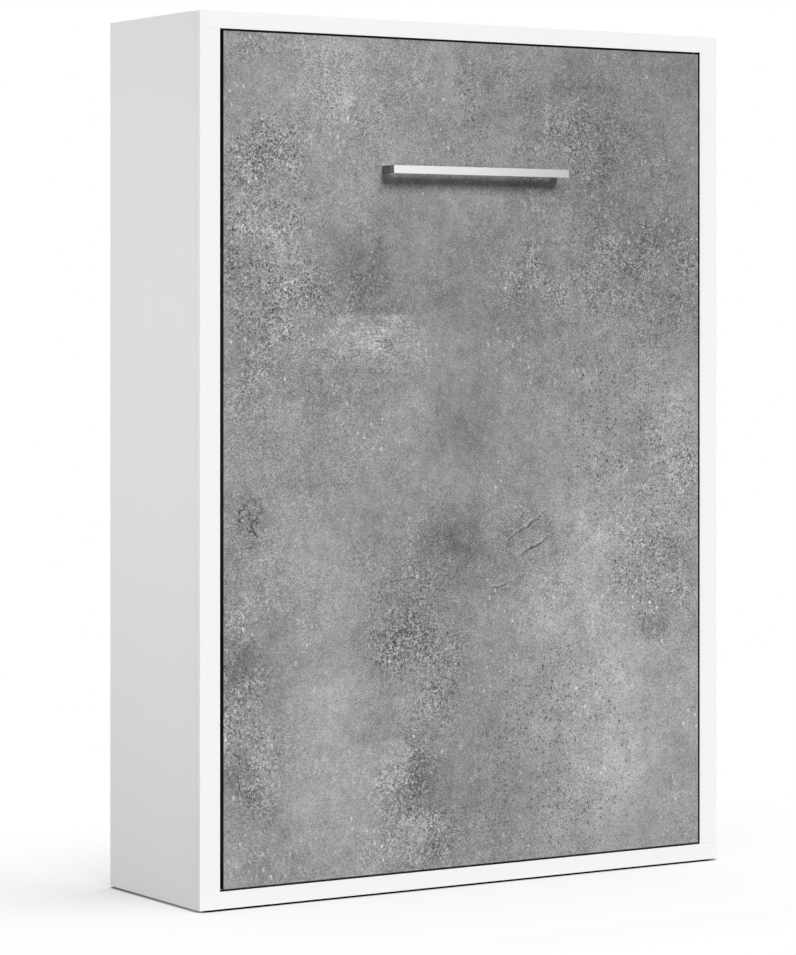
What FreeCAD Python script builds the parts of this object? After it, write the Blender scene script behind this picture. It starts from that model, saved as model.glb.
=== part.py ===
import FreeCAD, Part
import math
import os
import re
import Sketcher

doc = FreeCAD.newDocument("wall_bed")

# Driving sizes in millimetres, angles in degrees, shares and counts as plain numbers
SIZES = {
    "cabinet_width": 1560,
    "cabinet_height": 2170,
    "cabinet_depth": 460,
    "board_thickness": 22,
    "glide_height": 4,
    "glide_radius": 15,
    "glide_inset": 45,
    "frame_rail_height": 42.5,
    "upright_width": 56,
    "frame_depth": 22,
    "back_rail_thickness": 22,
    "back_rail_height": 160,
    "head_rail_low": 520,
    "head_rail_height": 300,
    "wall_hole_radius": 5,
    "wall_hole_spacing": 1200,
    "cam_radius": 7.5,
    "cam_depth": 12.5,
    "cam_inset": 34,
    "cam_edge": 60,
    "side_gap": 7,
    "end_gap": 4.6,
    "panel_thickness": 18,
    "panel_proud": 3,
    "edging_thickness": 1,
    "handle_length": 528,
    "handle_section": 20,
    "handle_projection": 54,
    "handle_drop": 326,
    "handle_screw_bite": 12,
    "handle_screw_radius": 2.5,
    "handle_screw_head": 5,
    "pivot_height": 310,
    "pivot_setback": 38,
    "tube_width": 16,
    "tube_depth": 80,
    "tube_wall": 2,
    "rail_inset": 8,
    "plug_flange": 2,
    "plug_depth": 12,
    "beam_width": 40,
    "beam_depth": 40,
    "slat_count": 13,
    "slat_width": 53,
    "slat_thickness": 8,
    "slat_bow": 8,
    "slat_margin": 30,
    "cap_floor": 5,
    "cap_wall": 3.5,
    "cap_grip": 32,
    "cap_web": 8,
    "bracket_size": 34,
    "bracket_thickness": 3,
    "bracket_width": 40,
    "bracket_drop": 73,
    "screw_radius": 2.2,
    "screw_head_radius": 4.5,
    "screw_head_height": 2,
    "screw_hold": 12,
    "pin_radius": 8,
    "pin_shoulder_radius": 12,
    "pin_shoulder": 4,
    "pin_end": 5,
    "groove_depth": 1,
    "clip_thickness": 1.5,
    "clip_radius": 12,
    "bush_wall": 2.5,
    "bush_flange_radius": 13,
    "bush_flange": 1.6,
    "hinge_plate_thickness": 4,
    "hinge_plate_width": 76,
    "hinge_plate_margin": 2,
    "hinge_plate_low": 60,
    "hinge_plate_high": 40,
    "plate_corner": 10,
    "plate_screw_inset": 13,
    "bed_plate_thickness": 5,
    "bed_plate_margin": 3,
    "bed_plate_low": 22,
    "bed_plate_high": 90,
    "bed_plate_bolt_inset": 14,
    "bed_plate_bolt_low": 80,
    "bolt_radius": 3,
    "bolt_head_radius": 6,
    "bolt_head_height": 1.6,
    "strut_arm": 200,
    "anchor_angle": 84,
    "strut_spread": 164,
    "swing": 90,
    "stud_radius": 5,
    "stud_collar_radius": 8,
    "stud_head": 2.4,
    "eye_radius": 11,
    "eye_width": 14,
    "eye_reach": 18,
    "eye_neck_radius": 6,
    "strut_radius": 11,
    "strut_bore": 9.5,
    "strut_end_wall": 4,
    "strut_gland": 14,
    "strut_slack": 4,
    "rod_radius": 5,
    "piston_radius": 9.2,
    "piston_length": 10,
    "bow_half": 300,
    "bow_rise": 130,
    "bow_bend": 55,
    "bow_radius": 7,
    "leg_inset": 164.9,
    "leg_setback": 60,
    "leg_width": 45,
    "leg_thickness": 4,
    "leg_bolt_radius": 5,
    "leg_bolt_hold": 10,
    "leg_bolt_head_radius": 8.6,
    "leg_bolt_head": 1.8,
    "foot_skin": 0.9,
    "foot_side": 4,
    "foot_floor": 6,
    "foot_height": 30,
    "stop_offset": 500,
    "stop_width": 50,
    "stop_thickness": 4,
    "stop_foot": 45,
    "buffer_length": 12,
    "buffer_radius": 7,
    "slide_fit": 0.05,
    "rod_fit": 0.2,
    "seat_play": 0.3,
    "slope_play": 1.6,
    "overrun": 5,
}

# Places and sizes that follow from the driving sizes; depth runs back from the front frame's face
DERIVED = {
    "front": "(panel_proud + handle_projection - cabinet_depth) / 2",
    "back": "front + cabinet_depth",
    "carcass_front": "front + frame_depth",
    "half_width": "cabinet_width / 2",
    "inner_half": "half_width - board_thickness",
    "opening_half": "half_width - upright_width",
    "opening_low": "glide_height + frame_rail_height",
    "opening_high": "cabinet_height - frame_rail_height",
    "floor_top": "glide_height + board_thickness",
    "roof_low": "cabinet_height - board_thickness",
    "back_rail_front": "back - back_rail_thickness",
    "lower_rail_high": "floor_top + back_rail_height",
    "upper_rail_low": "roof_low - back_rail_height",
    "panel_half": "opening_half - side_gap",
    "panel_low": "opening_low + end_gap",
    "panel_high": "opening_high - end_gap",
    "panel_front": "front - panel_proud",
    "panel_back": "panel_front + panel_thickness",
    "core_half": "panel_half - edging_thickness",
    "handle_half": "handle_length / 2",
    "handle_z": "panel_high - handle_drop",
    "handle_tip": "panel_front - handle_projection",
    "post_x": "handle_half - handle_section / 2",
    "pivot_y": "front + pivot_setback",
    "rail_inner": "panel_half - tube_width",
    "rail_back": "panel_back + tube_depth",
    "rail_low": "panel_low + rail_inset",
    "rail_high": "panel_high - rail_inset",
    "end_low": "rail_low + tube_width",
    "end_high": "rail_high - tube_width",
    "beam_half": "beam_width / 2",
    "beam_back": "panel_back + beam_depth",
    "slat_front": "beam_back + cap_floor",
    "slat_outer": "rail_inner - cap_wall - seat_play",
    "slat_inner": "cap_web / 2 + seat_play",
    "slat_length": "slat_outer - slat_inner",
    "slat_curve": "slat_length * slat_length / (8 * slat_bow) + slat_bow / 2",
    "slat_low": "end_low + slat_margin",
    "slat_run": "end_high - slat_margin - slat_width - slat_low",
    "slat_pitch": "slat_run / (slat_count - 1)",
    "cap_back": "slat_front + slat_thickness + slope_play + cap_wall",
    "cap_half": "cap_web / 2 + cap_grip",
    "hinge_plate_inner": "inner_half - hinge_plate_thickness",
    "hinge_plate_front": "carcass_front + hinge_plate_margin",
    "hinge_plate_back": "hinge_plate_front + hinge_plate_width",
    "hinge_plate_foot": "pivot_height - hinge_plate_low",
    "hinge_plate_top": "anchor_z + hinge_plate_high",
    "bed_plate_outer": "panel_half + bed_plate_thickness",
    "bed_plate_front": "panel_back + bed_plate_margin",
    "bed_plate_back": "rail_back - bed_plate_margin",
    "bed_plate_foot": "stud_z - bed_plate_low",
    "bed_plate_top": "pivot_height + bed_plate_high",
    "bush_radius": "pin_radius + slide_fit + bush_wall",
    "groove_radius": "pin_radius - groove_depth",
    "clip_low": "rail_inner - seat_play - clip_thickness",
    "pin_inner": "clip_low - pin_end",
    "anchor_y": "pivot_y + strut_arm * cos(anchor_angle * 1 deg)",
    "anchor_z": "pivot_height + strut_arm * sin(anchor_angle * 1 deg)",
    "stud_y": "pivot_y + strut_arm * cos((anchor_angle - strut_spread) * 1 deg)",
    "stud_z": "pivot_height + strut_arm * sin((anchor_angle - strut_spread) * 1 deg)",
    "strut_tilt": "(anchor_angle - strut_spread / 2) * 1 deg",
    "strut_space": "hinge_plate_inner - bed_plate_outer",
    "strut_plane": "bed_plate_outer + strut_space / 2",
    "open_length": "2 * strut_arm * sin((strut_spread - swing) / 2 * 1 deg)",
    "tube_end": "open_length - eye_reach - strut_slack",
    "rod_end": "open_length - eye_reach - strut_end_wall - strut_slack",
    "stud_collar": "(strut_space - eye_width) / 2 - seat_play",
    "stud_grip": "eye_width + 2 * seat_play",
    "bow_low_z": "rail_low + tube_width / 2",
    "bow_high_z": "rail_high - tube_width / 2",
    "bow_top": "rail_back + bow_rise",
    "leg_y": "front + leg_setback",
    "leg_pivot_height": "rail_high - leg_inset",
    "leg_low_x": "(panel_half + opening_half - leg_thickness) / 2",
    "leg_high_x": "leg_low_x + leg_thickness",
    "leg_length": "pivot_height + leg_setback - pivot_setback",
    "leg_foot_z": "leg_pivot_height - leg_length",
    "leg_tip_z": "leg_foot_z + foot_floor",
    "stop_y": "rail_back + buffer_length",
    "stop_low": "end_high + seat_play",
}

sheet = doc.addObject("Spreadsheet::Sheet", "Sizes")
for row, (name, size) in enumerate(SIZES.items(), start=1):
    sheet.set(f"A{row}", name)
    sheet.set(f"B{row}", str(size))
    sheet.setAlias(f"B{row}", name)
doc.recompute()

TURNS = {"x": ((0, 1, 0), 90), "y": ((1, 0, 0), -90), "z": ((0, 0, 1), 0), "-x": ((0, 1, 0), -90)}
parts = {}


def formula(text):
    """Writes a formula of size names with the cells of the sheet."""

    def cell(match):
        word = match.group(0)
        if word in DERIVED:
            return "(" + formula(DERIVED[word]) + ")"
        return "Sizes." + word if word in SIZES else word

    return re.sub("[a-z_]+", cell, text)


def value(text):
    return float(sheet.evalExpression(formula(text)))


def bind(item, prop, text):
    item.setExpression(prop, formula(text))


def place(item, x, y, z, turn=None):
    if turn:
        direction, angle = TURNS[turn]
        rotation = FreeCAD.Rotation(FreeCAD.Vector(*direction), angle)
        item.Placement = FreeCAD.Placement(FreeCAD.Vector(), rotation)
    for axis, text in zip("xyz", (x, y, z)):
        bind(item, "Placement.Base." + axis, text)
    return item


def tilt(item, angle):
    rotation = FreeCAD.Rotation(FreeCAD.Vector(1, 0, 0), value(angle))
    item.Placement = FreeCAD.Placement(item.Placement.Base, rotation)
    bind(item, "Placement.Rotation.Angle", angle)
    return item


def add(kind, label):
    item = doc.addObject(kind, label)
    item.Label = label
    return item


def keep(item):
    parts[item.Label] = item
    return item


def block(label, x, y, z):
    """A box between a low and a high face on each axis."""
    item = add("Part::Box", label)
    for prop, (low, high) in zip(("Length", "Width", "Height"), (x, y, z)):
        bind(item, prop, f"({high}) - ({low})")
    return place(item, x[0], y[0], z[0])


def bar(label, axis, along, across, radius):
    """A round bar along one axis, between a low and a high end."""
    item = add("Part::Cylinder", label)
    bind(item, "Radius", radius)
    bind(item, "Height", f"({along[1]}) - ({along[0]})")
    spots = list(across)
    spots.insert("xyz".index(axis), along[0])
    return place(item, *spots, turn=axis)


def group(label, items):
    item = add("Part::Compound", label)
    item.Links = items
    return item


def cut(label, base, tools):
    item = add("Part::Cut", label)
    item.Base = base
    item.Tool = tools[0] if len(tools) == 1 else group(label + "_tools", tools)
    return item


def fuse(label, items):
    item = add("Part::MultiFuse", label)
    item.Shapes = items
    return item


def mirror(label, source):
    item = add("Part::Mirroring", label)
    item.Source = source
    item.Normal = FreeCAD.Vector(1, 0, 0)
    return item


def both(label, source):
    """A right-hand piece and its mirror image as one group."""
    return keep(group(label, [source, mirror(label + "_mirrored", source)]))


def origin(body, role):
    return next(item for item in body.Origin.OriginFeatures if item.Role == role)


def sketch_on(body, label, role):
    sketch = body.newObject("Sketcher::SketchObject", label)
    sketch.AttachmentSupport = (origin(body, role), [""])
    sketch.MapMode = "FlatFace"
    return sketch


def hold(sketch, kind, place_of, text):
    """Binds one coordinate of a sketch point to a formula."""
    if text == "0":
        axis = -2 if kind == "DistanceX" else -1
        sketch.addConstraint(Sketcher.Constraint("PointOnObject", *place_of, axis))
        return
    index = sketch.addConstraint(Sketcher.Constraint(kind, -1, 1, *place_of, value(text)))
    bind(sketch, f"Constraints[{index}]", text)


def outline(sketch, corners):
    """A closed outline of straight edges with every corner bound."""
    spots = [FreeCAD.Vector(value(across), value(along), 0) for across, along in corners]
    count = len(spots)
    for index in range(count):
        sketch.addGeometry(Part.LineSegment(spots[index], spots[(index + 1) % count]), False)
    for index in range(count):
        sketch.addConstraint(Sketcher.Constraint("Coincident", index, 2, (index + 1) % count, 1))
    for index, (across, along) in enumerate(corners):
        hold(sketch, "DistanceX", (index, 1), across)
        hold(sketch, "DistanceY", (index, 1), along)


def turned(label, profile):
    """A turned piece from its half section: distance from the axis, place along it."""
    body = add("PartDesign::Body", label)
    sketch = sketch_on(body, label + "_section", "XZ_Plane")
    outline(sketch, profile)
    spin = body.newObject("PartDesign::Revolution", label + "_turning")
    spin.Profile = sketch
    spin.ReferenceAxis = (sketch, ["V_Axis"])
    body.Tip = spin
    return body


def plate(label, thickness, y, z, holes):
    """A flat plate with cut corners and round holes, lying across the width."""
    body = add("PartDesign::Body", label)
    sketch = sketch_on(body, label + "_outline", "YZ_Plane")
    near, far = (f"{y[0]} + plate_corner", f"{y[1]} - plate_corner")
    low, high = (f"{z[0]} + plate_corner", f"{z[1]} - plate_corner")
    corners = [(near, z[0]), (far, z[0]), (y[1], low), (y[1], high)]
    corners += [(far, z[1]), (near, z[1]), (y[0], high), (y[0], low)]
    outline(sketch, corners)
    pad = body.newObject("PartDesign::Pad", label + "_sheet")
    pad.Profile = sketch
    bind(pad, "Length", thickness)
    doc.recompute()
    round_holes = sketch_on(body, label + "_holes", "YZ_Plane")
    for index, (across, along, radius) in enumerate(holes):
        centre = FreeCAD.Vector(value(across), value(along), 0)
        circle = Part.Circle(centre, FreeCAD.Vector(0, 0, 1), value(radius))
        round_holes.addGeometry(circle, False)
        hold(round_holes, "DistanceX", (index, 3), across)
        hold(round_holes, "DistanceY", (index, 3), along)
        size = round_holes.addConstraint(Sketcher.Constraint("Radius", index, value(radius)))
        bind(round_holes, f"Constraints[{size}]", radius)
    pocket = body.newObject("PartDesign::Pocket", label + "_drilling")
    pocket.Profile = round_holes
    pocket.Type = "ThroughAll"
    pocket.Reversed = True
    body.Tip = pocket
    return body


# Screw places of one hinge plate and bolt places of one bed plate: depth and height
plate_screw_spots = [
    (across, along)
    for across in ("hinge_plate_front + plate_screw_inset", "hinge_plate_back - plate_screw_inset")
    for along in (
        "hinge_plate_foot + plate_screw_inset",
        "(pivot_height + anchor_z) / 2",
        "hinge_plate_top - plate_screw_inset",
    )
]
bed_bolt_spots = [
    (across, along)
    for across in ("bed_plate_front + bed_plate_bolt_inset", "bed_plate_back - bed_plate_bolt_inset")
    for along in ("bed_plate_top - bed_plate_bolt_inset", "pivot_height - bed_plate_bolt_low")
]

# Side boards, bored for the hinge plate screws
side = block(
    "side_board_blank",
    ("inner_half", "half_width"),
    ("carcass_front", "back"),
    ("glide_height", "cabinet_height"),
)
side_bores = [
    bar(
        f"side_bore_{index}",
        "x",
        ("inner_half - overrun", "inner_half + screw_hold + seat_play"),
        spot,
        "screw_radius + slide_fit",
    )
    for index, spot in enumerate(plate_screw_spots)
]
side = keep(cut("side_panel_right", side, side_bores))
keep(mirror("side_panel_left", side))

# Top board, bottom board and back rails, bored for the cam fittings that join them to the sides
cams = []


def cam_board(label, x, y, z, axis, spots, face, inward, extra):
    """A board with cam fittings let into the face that looks into the cabinet."""
    bores = list(extra)
    for index, spot in enumerate(spots):
        ends = [face, f"{face} {inward} cam_depth"]
        tool = [f"{face} {'-' if inward == '+' else '+'} overrun", f"{face} {inward} (cam_depth + seat_play)"]
        if inward == "-":
            ends.reverse()
            tool.reverse()
        bores.append(bar(f"{label}_bore_{index}", axis, tool, spot, "cam_radius + slide_fit"))
        cams.append(bar(f"{label}_cam_{index}", axis, ends, spot, "cam_radius"))
    return keep(cut(label, block(label + "_blank", x, y, z), bores))


cam_sides = ("inner_half - cam_inset", "cam_inset - inner_half")
flat_spots = [(x, y) for x in cam_sides for y in ("carcass_front + cam_edge", "back_rail_front - cam_edge")]
board_x = ("-inner_half", "inner_half")
board_y = ("carcass_front", "back")
rail_y = ("back_rail_front", "back")
top_z = ("roof_low", "cabinet_height")
bottom_z = ("glide_height", "floor_top")
cam_board("top_panel", board_x, board_y, top_z, "z", flat_spots, "roof_low", "+", [])
cam_board("bottom_panel", board_x, board_y, bottom_z, "z", flat_spots, "floor_top", "-", [])
for label, low, high, bolted in (
    ("upper_back_rail", "upper_rail_low", "roof_low", True),
    ("head_back_rail", "head_rail_low", "head_rail_low + head_rail_height", False),
    ("lower_back_rail", "floor_top", "lower_rail_high", True),
):
    middle = f"({low} + {high}) / 2"
    wall_bores = [
        bar(
            f"{label}_wall_bore_{index}",
            "y",
            ("back_rail_front - overrun", "back + overrun"),
            (x, middle),
            "wall_hole_radius",
        )
        for index, x in enumerate(("wall_hole_spacing / 2", "-wall_hole_spacing / 2"))
        if bolted
    ]
    spots = [(x, middle) for x in cam_sides]
    cam_board(label, board_x, rail_y, (low, high), "y", spots, "back_rail_front", "+", wall_bores)
keep(group("cam_fittings", cams))

# Front frame: two rails over the whole width and two uprights between them
frame_y = ("front", "carcass_front")
frame_x = ("-half_width", "half_width")
keep(block("frame_top_rail", frame_x, frame_y, ("opening_high", "cabinet_height")))
keep(block("frame_bottom_rail", frame_x, frame_y, ("glide_height", "opening_low")))
upright = block(
    "frame_upright_right", ("opening_half", "half_width"), frame_y, ("opening_low", "opening_high")
)
keep(upright)
keep(mirror("frame_upright_left", upright))

# Floor glides under the bottom board
glides = [
    bar(f"glide_{index}", "z", ("0", "glide_height"), spot, "glide_radius")
    for index, spot in enumerate(
        (x, y)
        for x in ("glide_inset - inner_half", "0", "inner_half - glide_inset")
        for y in ("carcass_front + glide_inset", "back - glide_inset")
    )
]
keep(group("floor_glides", glides))

# Hinge plates on the side boards with their screws
hinge_holes = [(y, z, "screw_radius + slide_fit") for y, z in plate_screw_spots]
hinge_holes.append(("pivot_y", "pivot_height", "pin_radius + slide_fit"))
hinge_holes.append(("anchor_y", "anchor_z", "stud_radius + slide_fit"))
hinge_plate = plate(
    "hinge_plate_right",
    "hinge_plate_thickness",
    ("hinge_plate_front", "hinge_plate_back"),
    ("hinge_plate_foot", "hinge_plate_top"),
    hinge_holes,
)
keep(place(hinge_plate, "hinge_plate_inner", "0", "0"))
keep(mirror("hinge_plate_left", hinge_plate))
plate_screws = []
for index, spot in enumerate(plate_screw_spots):
    head = bar(
        f"plate_screw_head_{index}",
        "x",
        ("hinge_plate_inner - screw_head_height", "hinge_plate_inner"),
        spot,
        "screw_head_radius",
    )
    shank = bar(
        f"plate_screw_shank_{index}",
        "x",
        ("hinge_plate_inner", "inner_half + screw_hold"),
        spot,
        "screw_radius",
    )
    plate_screws.append(fuse(f"plate_screw_{index}", [head, shank]))
both("hinge_plate_screws", group("hinge_plate_screws_right", plate_screws))

# Pivot pins with a groove for the retaining ring, and the rings
shoulder = "hinge_plate_inner - pin_inner - pin_shoulder"
pin = turned(
    "pivot_pin_right",
    [
        ("0", "0"),
        ("pin_radius", "0"),
        ("pin_radius", "pin_end - slide_fit"),
        ("groove_radius", "pin_end - slide_fit"),
        ("groove_radius", "pin_end + clip_thickness + slide_fit"),
        ("pin_radius", "pin_end + clip_thickness + slide_fit"),
        ("pin_radius", shoulder),
        ("pin_shoulder_radius", shoulder),
        ("pin_shoulder_radius", shoulder + " + pin_shoulder"),
        ("pin_radius", shoulder + " + pin_shoulder"),
        ("pin_radius", "inner_half - pin_inner"),
        ("0", "inner_half - pin_inner"),
    ],
)
both("pivot_pins", place(pin, "pin_inner", "pivot_y", "pivot_height", "x"))
ring = turned(
    "pivot_clip_right",
    [
        ("groove_radius + slide_fit", "0"),
        ("clip_radius", "0"),
        ("clip_radius", "clip_thickness"),
        ("groove_radius + slide_fit", "clip_thickness"),
    ],
)
both("pivot_clips", place(ring, "clip_low", "pivot_y", "pivot_height", "x"))


def stud(label, hold_in):
    """A headed stud for a strut eye, riveted into a plate."""
    steps = ("", " + stud_collar", " + stud_collar + stud_grip", " + stud_collar + stud_grip + stud_head")
    ends = [hold_in + step for step in steps]
    profile = [("0", "0"), ("stud_radius", "0"), ("stud_radius", ends[0]), ("stud_collar_radius", ends[0])]
    profile += [("stud_collar_radius", ends[1]), ("stud_radius", ends[1]), ("stud_radius", ends[2])]
    profile += [("stud_collar_radius", ends[2]), ("stud_collar_radius", ends[3]), ("0", ends[3])]
    return turned(label, profile)


anchor_stud = stud("strut_anchor_stud_right", "hinge_plate_thickness")
both("strut_anchor_studs", place(anchor_stud, "inner_half", "anchor_y", "anchor_z", "-x"))

# Closing stops under the top board, behind the foot-end rail
stop_x = ("stop_offset - stop_width / 2", "stop_offset + stop_width / 2")
stop_face = block("stop_face", stop_x, ("stop_y", "stop_y + stop_thickness"), ("stop_low", "roof_low"))
stop_foot = block(
    "stop_foot", stop_x, ("stop_y", "stop_y + stop_foot"), ("roof_low - stop_thickness", "roof_low")
)
both("closing_stop_brackets", fuse("closing_stop_bracket_right", [stop_face, stop_foot]))
stop_buffer = bar(
    "closing_stop_buffer_right", "y", ("rail_back", "stop_y"), ("stop_offset", "bow_high_z"), "buffer_radius"
)
both("closing_stop_buffers", stop_buffer)

# Front panel with its edging; it is bored for the bracket screws and the handle screws
bracket_shares = (0.36, 0.64, 0.92)
bracket_spots = ["pivot_height - bracket_drop"]
bracket_spots += [f"end_low + {share} * (end_high - end_low)" for share in bracket_shares]
screw_x = "rail_inner - bracket_size / 2"
panel = block(
    "front_panel_blank",
    ("-core_half", "core_half"),
    ("panel_front", "panel_back"),
    ("panel_low + edging_thickness", "panel_high - edging_thickness"),
)
panel_bores = [
    bar(
        f"panel_bore_{index}",
        "y",
        ("panel_back - screw_hold - seat_play", "panel_back + overrun"),
        (x, z),
        "screw_radius + slide_fit",
    )
    for index, (x, z) in enumerate((x, z) for x in (screw_x, f"-({screw_x})") for z in bracket_spots)
]
panel_bores += [
    bar(
        f"panel_handle_bore_{index}",
        "y",
        ("panel_front - overrun", "panel_back + overrun"),
        (x, "handle_z"),
        "handle_screw_radius + slide_fit",
    )
    for index, x in enumerate(("post_x", "-post_x"))
]
keep(cut("front_panel", panel, panel_bores))
edge_y = ("panel_front", "panel_back")
long_edge = block("edging_right", ("core_half", "panel_half"), edge_y, ("panel_low", "panel_high"))
low_edge = block(
    "edging_low", ("-core_half", "core_half"), edge_y, ("panel_low", "panel_low + edging_thickness")
)
high_edge = block(
    "edging_high", ("-core_half", "core_half"), edge_y, ("panel_high - edging_thickness", "panel_high")
)
keep(group("panel_edging", [long_edge, mirror("edging_left", long_edge), low_edge, high_edge]))

# Handle: square bar on two posts, screwed through the panel
handle_z = ("handle_z - handle_section / 2", "handle_z + handle_section / 2")
keep(
    block(
        "handle_bar",
        ("-handle_half", "handle_half"),
        ("handle_tip", "handle_tip + handle_section"),
        handle_z,
    )
)
post = block(
    "handle_post_blank",
    ("handle_half - handle_section", "handle_half"),
    ("handle_tip + handle_section", "panel_front"),
    handle_z,
)
post_bore = bar(
    "handle_post_bore",
    "y",
    ("panel_front - handle_screw_bite - seat_play", "panel_front + overrun"),
    ("post_x", "handle_z"),
    "handle_screw_radius + slide_fit",
)
both("handle_posts", cut("handle_post_right", post, [post_bore]))
handle_shank = bar(
    "handle_screw_shank",
    "y",
    ("panel_front - handle_screw_bite", "panel_back"),
    ("post_x", "handle_z"),
    "handle_screw_radius",
)
handle_head = bar(
    "handle_screw_top",
    "y",
    ("panel_back", "panel_back + bracket_thickness"),
    ("post_x", "handle_z"),
    "handle_screw_head",
)
both("handle_screws", fuse("handle_screw_right", [handle_shank, handle_head]))

# Bed frame of rectangular tube: side rails, end rails and centre beam
tube_y = ("panel_back", "rail_back")
hollow_y = ("panel_back + tube_wall", "rail_back - tube_wall")
rail = block("bed_rail_blank", ("rail_inner", "panel_half"), tube_y, ("rail_low", "rail_high"))
rail_tools = [
    block(
        "bed_rail_hollow",
        ("rail_inner + tube_wall", "panel_half - tube_wall"),
        hollow_y,
        ("rail_low - overrun", "rail_high + overrun"),
    )
]
rail_drills = [
    bar(
        "bed_rail_pivot_bore",
        "x",
        ("rail_inner - overrun", "panel_half + overrun"),
        ("pivot_y", "pivot_height"),
        "bush_radius + slide_fit",
    ),
    bar(
        "bed_rail_leg_bore",
        "x",
        ("panel_half - leg_bolt_hold", "panel_half + overrun"),
        ("leg_y", "leg_pivot_height"),
        "leg_bolt_radius + slide_fit",
    ),
]
rail_drills += [
    bar(
        f"bed_rail_bolt_bore_{index}",
        "x",
        ("panel_half - leg_bolt_hold", "panel_half + overrun"),
        spot,
        "bolt_radius + slide_fit",
    )
    for index, spot in enumerate(bed_bolt_spots)
]
rail = keep(cut("bed_rail_right", cut("bed_rail_tube", rail, rail_tools), rail_drills))
keep(mirror("bed_rail_left", rail))
end_x = ("-rail_inner", "rail_inner")
for label, low, high in (
    ("head_end_rail", "rail_low", "end_low"),
    ("foot_end_rail", "end_high", "rail_high"),
):
    hollow = block(
        label + "_hollow",
        ("-rail_inner - overrun", "rail_inner + overrun"),
        hollow_y,
        (f"{low} + tube_wall", f"{high} - tube_wall"),
    )
    keep(cut(label, block(label + "_blank", end_x, tube_y, (low, high)), [hollow]))
beam = block(
    "centre_beam_blank",
    ("-beam_half", "beam_half"),
    ("panel_back", "beam_back"),
    ("end_low", "end_high"),
)
beam_hollow = block(
    "centre_beam_hollow",
    ("tube_wall - beam_half", "beam_half - tube_wall"),
    ("panel_back + tube_wall", "beam_back - tube_wall"),
    ("end_low - overrun", "end_high + overrun"),
)
keep(cut("centre_beam", beam, [beam_hollow]))

# Plugs in the open ends of the side rails
plugs = []
plug_x = ("rail_inner + tube_wall + slide_fit", "panel_half - tube_wall - slide_fit")
plug_y = ("panel_back + tube_wall + slide_fit", "rail_back - tube_wall - slide_fit")
for label, inside, outside in (
    ("low", ("rail_low", "rail_low + plug_depth"), ("rail_low - plug_flange", "rail_low")),
    ("high", ("rail_high - plug_depth", "rail_high"), ("rail_high", "rail_high + plug_flange")),
):
    stem = block(f"plug_stem_{label}", plug_x, plug_y, inside)
    lid = block(f"plug_lid_{label}", ("rail_inner", "panel_half"), tube_y, outside)
    plugs.append(fuse(f"plug_{label}", [stem, lid]))
both("tube_plugs", group("tube_plugs_right", plugs))

# Angle brackets between the side rails and the panel, with their screws
brackets = []
panel_screws = []
for index, middle in enumerate(bracket_spots):
    reach_z = (f"{middle} - bracket_width / 2", f"{middle} + bracket_width / 2")
    on_panel = block(
        f"bracket_on_panel_{index}",
        ("rail_inner - bracket_size", "rail_inner"),
        ("panel_back", "panel_back + bracket_thickness"),
        reach_z,
    )
    on_rail = block(
        f"bracket_on_rail_{index}",
        ("rail_inner - bracket_thickness", "rail_inner"),
        ("panel_back", "panel_back + bracket_size"),
        reach_z,
    )
    hole = bar(
        f"bracket_hole_{index}",
        "y",
        ("panel_back - overrun", "panel_back + bracket_thickness + overrun"),
        (screw_x, middle),
        "screw_radius + slide_fit",
    )
    brackets.append(cut(f"bracket_{index}", fuse(f"bracket_angle_{index}", [on_panel, on_rail]), [hole]))
    shank = bar(
        f"panel_screw_shank_{index}",
        "y",
        ("panel_back - screw_hold", "panel_back + bracket_thickness"),
        (screw_x, middle),
        "screw_radius",
    )
    head = bar(
        f"panel_screw_head_{index}",
        "y",
        ("panel_back + bracket_thickness", "panel_back + bracket_thickness + screw_head_height"),
        (screw_x, middle),
        "screw_head_radius",
    )
    panel_screws.append(fuse(f"panel_screw_{index}", [shank, head]))
both("panel_brackets", group("panel_brackets_right", brackets))
both("panel_screws", group("panel_screws_right", panel_screws))


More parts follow.
